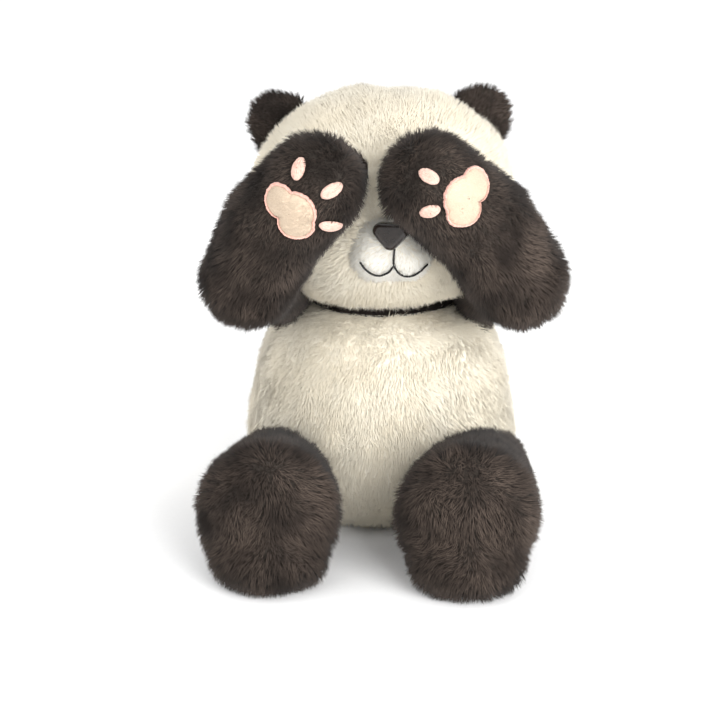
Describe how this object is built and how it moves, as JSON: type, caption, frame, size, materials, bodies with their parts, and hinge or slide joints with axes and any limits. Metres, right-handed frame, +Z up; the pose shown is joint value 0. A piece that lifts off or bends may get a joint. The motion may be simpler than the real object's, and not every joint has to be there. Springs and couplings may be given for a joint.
{
  "type": "plush panda",
  "caption": "Sitting stuffed panda that covers its eyes with its paws; sewn neck, ears, arms and legs that turn.",
  "frame": {"origin": "on the floor, in the middle of the flat seat", "axes": "+Z up, the toy looks along -Y, and +X is the toy's own left"},
  "size_m": [0.1778, 0.2122, 0.2306],
  "materials": {
    "dark_plush": "long matte pile",
    "cream_plush": "long matte pile",
    "short_cream_plush": "short matte pile",
    "pad_minky": "short soft pile",
    "pink_thread": "satin stitch",
    "black_thread": "satin stitch",
    "nose_plastic": "pebbled, semi-gloss",
    "eye_plastic": "gloss",
    "washer_plastic": "matte",
    "magnet_steel": "plain",
    "stuffing": "loose fibre",
    "pellets": "bag of small pellets"
  },
  "bodies": {
    "torso": {"seat_panel": "cream_plush", "shoulder_yoke": "dark_plush", "belly_cover": "cream_plush", "back_cover": "cream_plush", "body_stuffing": "stuffing", "pellet_bag": "pellets"},
    "neck": {"neck_cover": "dark_plush", "neck_stuffing": "stuffing"},
    "head": {"face_cover": "cream_plush", "head_back_cover": "cream_plush", "muzzle_panel": "short_cream_plush", "head_stuffing": "stuffing", "nose": "nose_plastic", "nose_washer": "washer_plastic", "mouth_embroidery": "black_thread", "eye_left": "eye_plastic", "eye_right": "eye_plastic", "eye_washer_left": "washer_plastic", "eye_washer_right": "washer_plastic", "eye_patch_left": "dark_plush", "eye_patch_right": "dark_plush", "face_magnet_left": "magnet_steel", "face_magnet_right": "magnet_steel"},
    "ear_left": {"ear_front_left": "dark_plush", "ear_back_left": "dark_plush", "ear_wadding_left": "stuffing"},
    "ear_right": {"ear_front_right": "dark_plush", "ear_back_right": "dark_plush", "ear_wadding_right": "stuffing"},
    "upper_arm_left": {"upper_arm_cover_left": "dark_plush", "upper_arm_stuffing_left": "stuffing"},
    "upper_arm_right": {"upper_arm_cover_right": "dark_plush", "upper_arm_stuffing_right": "stuffing"},
    "forearm_left": {"forearm_cover_left": "dark_plush", "palm_panel_left": "dark_plush", "forearm_stuffing_left": "stuffing", "paw_magnet_left": "magnet_steel", "main_pad_left": "pad_minky", "pad_border_left": "pink_thread", "toe_pads_left": "pink_thread"},
    "forearm_right": {"forearm_cover_right": "dark_plush", "palm_panel_right": "dark_plush", "forearm_stuffing_right": "stuffing", "paw_magnet_right": "magnet_steel", "main_pad_right": "pad_minky", "pad_border_right": "pink_thread", "toe_pads_right": "pink_thread"},
    "leg_left": {"leg_cover_left": "dark_plush", "sole_panel_left": "dark_plush", "leg_stuffing_left": "stuffing"},
    "leg_right": {"leg_cover_right": "dark_plush", "sole_panel_right": "dark_plush", "leg_stuffing_right": "stuffing"}
  },
  "joints": [
    {"name": "head_turn", "type": "hinge", "parent": "torso", "child": "neck", "pos_m": [0, 0, 0.11], "axis": [0, 0, 1], "range_deg": [-6, 6], "stiffness_Nm_per_rad": 0.6},
    {"name": "head_nod", "type": "hinge", "parent": "neck", "child": "head", "pos_m": [0, -0.008, 0.174], "axis": [1, 0, 0], "range_deg": [-8, 4], "stiffness_Nm_per_rad": 0.8},
    {"name": "ear_fold_left", "type": "hinge", "parent": "head", "child": "ear_left", "pos_m": [0.04901, 0, 0.21464], "axis": [0.7431, 0, -0.6691], "range_deg": [-20, 20], "stiffness_Nm_per_rad": 0.03},
    {"name": "ear_fold_right", "type": "hinge", "parent": "head", "child": "ear_right", "pos_m": [-0.0523, 0, 0.21171], "axis": [0.6428, 0, 0.766], "range_deg": [-20, 20], "stiffness_Nm_per_rad": 0.03},
    {"name": "arm_swing_left", "type": "hinge", "parent": "torso", "child": "upper_arm_left", "pos_m": [0.048, -0.016, 0.092], "axis": [1, 0, 0], "range_deg": [0, 39], "stiffness_Nm_per_rad": 0.6},
    {"name": "arm_swing_right", "type": "hinge", "parent": "torso", "child": "upper_arm_right", "pos_m": [-0.048, -0.016, 0.092], "axis": [1, 0, 0], "range_deg": [0, 39], "stiffness_Nm_per_rad": 0.6},
    {"name": "elbow_bend_left", "type": "hinge", "parent": "upper_arm_left", "child": "forearm_left", "pos_m": [0.067, -0.068, 0.143], "axis": [0, 0, 1], "range_deg": [0, 60], "stiffness_Nm_per_rad": 0.2},
    {"name": "elbow_bend_right", "type": "hinge", "parent": "upper_arm_right", "child": "forearm_right", "pos_m": [-0.067, -0.068, 0.143], "axis": [0, 0, -1], "range_deg": [0, 60], "stiffness_Nm_per_rad": 0.2},
    {"name": "leg_lift_left", "type": "hinge", "parent": "torso", "child": "leg_left", "pos_m": [0.046, -0.042, 0.026], "axis": [1, 0, 0], "range_deg": [-20, 0], "stiffness_Nm_per_rad": 0.6},
    {"name": "leg_lift_right", "type": "hinge", "parent": "torso", "child": "leg_right", "pos_m": [-0.046, -0.042, 0.026], "axis": [1, 0, 0], "range_deg": [-20, 0], "stiffness_Nm_per_rad": 0.6}
  ]
}
